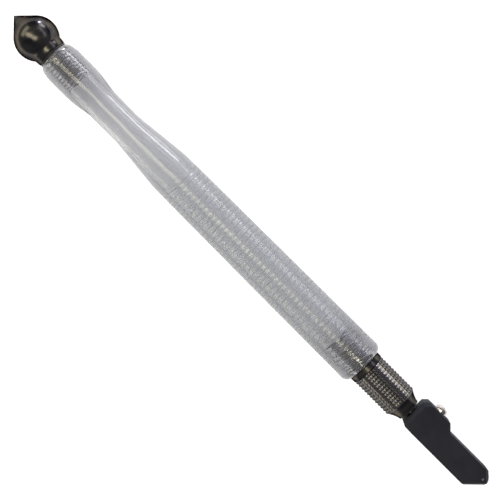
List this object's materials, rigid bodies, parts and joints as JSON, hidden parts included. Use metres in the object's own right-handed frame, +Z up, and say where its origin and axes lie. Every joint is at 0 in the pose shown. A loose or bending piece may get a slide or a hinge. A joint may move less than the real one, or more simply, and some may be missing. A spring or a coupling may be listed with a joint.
{
  "type": "glass cutter",
  "caption": "Pencil-shaped oil-feed glass cutter: clear waisted handle with a grip grid, dark ball end cap, knurled ferrule, flat swivelling head with a clamp screw and small cutting wheel.",
  "frame": {"origin": "on the surface that the tool lies on, under the middle of its length, 6.5 mm below the tool's axis", "axes": "+X along the tool's axis towards the cutting wheel, +Y towards the clamp screw, +Z up, out of the head's upper flat face"},
  "size_m": [0.1746, 0.0135, 0.013],
  "materials": {
    "clear_acrylic": "clear, grey-tinted by what is behind it, glossy neck and moulded grip grid",
    "black_nickel": "dark polished nickel plate over brass",
    "black_oxide": "matte charcoal coating, thin on the edges",
    "bright_nickel": "bright nickel plate",
    "brass": "plain turned brass",
    "carbide": "ground tungsten carbide",
    "spring_steel": "drawn stainless wire",
    "nitrile_rubber": "black nitrile rubber, slightly oily"
  },
  "bodies": {
    "barrel": {"handle": "clear_acrylic", "ferrule": "black_nickel", "front_o_ring": "nitrile_rubber", "spring_plug": "brass", "plunger_spring": "spring_steel"},
    "cap_seal": {"cap_o_ring": "nitrile_rubber"},
    "cap": {"end_cap": "black_nickel"},
    "plunger": {"plunger": "black_nickel", "valve_o_ring": "nitrile_rubber"},
    "head": {"head_body": "black_oxide", "clamp_screw": "bright_nickel", "wheel_axle": "carbide"},
    "wheel": {"cutting_wheel": "carbide"}
  },
  "joints": [
    {"name": "cap_travel", "type": "slide", "parent": "barrel", "child": "cap_seal", "axis": [-1, 0, 0], "range_m": [0, 0.009]},
    {"name": "cap_turn", "type": "hinge", "parent": "cap_seal", "child": "cap", "pos_m": [-0.0728, 0, 0.0065], "axis": [-1, 0, 0], "range_deg": [0, 3250]},
    {"name": "plunger_press", "type": "slide", "parent": "barrel", "child": "plunger", "axis": [-1, 0, 0], "range_m": [0, 0.0008], "stiffness_N_per_m": 1200, "springref_m": -0.001, "deforming": ["plunger_spring"]},
    {"name": "head_swivel", "type": "hinge", "parent": "plunger", "child": "head", "pos_m": [0.0654, 0, 0.0065], "axis": [1, 0, 0], "range_deg": [-10, 10]},
    {"name": "wheel_spin", "type": "hinge", "parent": "head", "child": "wheel", "pos_m": [0.0853, 0.00105, 0.0065], "axis": [0, 0, 1], "continuous": true}
  ],
  "couplings": [
    {"joint": "cap_turn", "follows": "cap_travel", "rad_per_m": 6283.2}
  ]
}
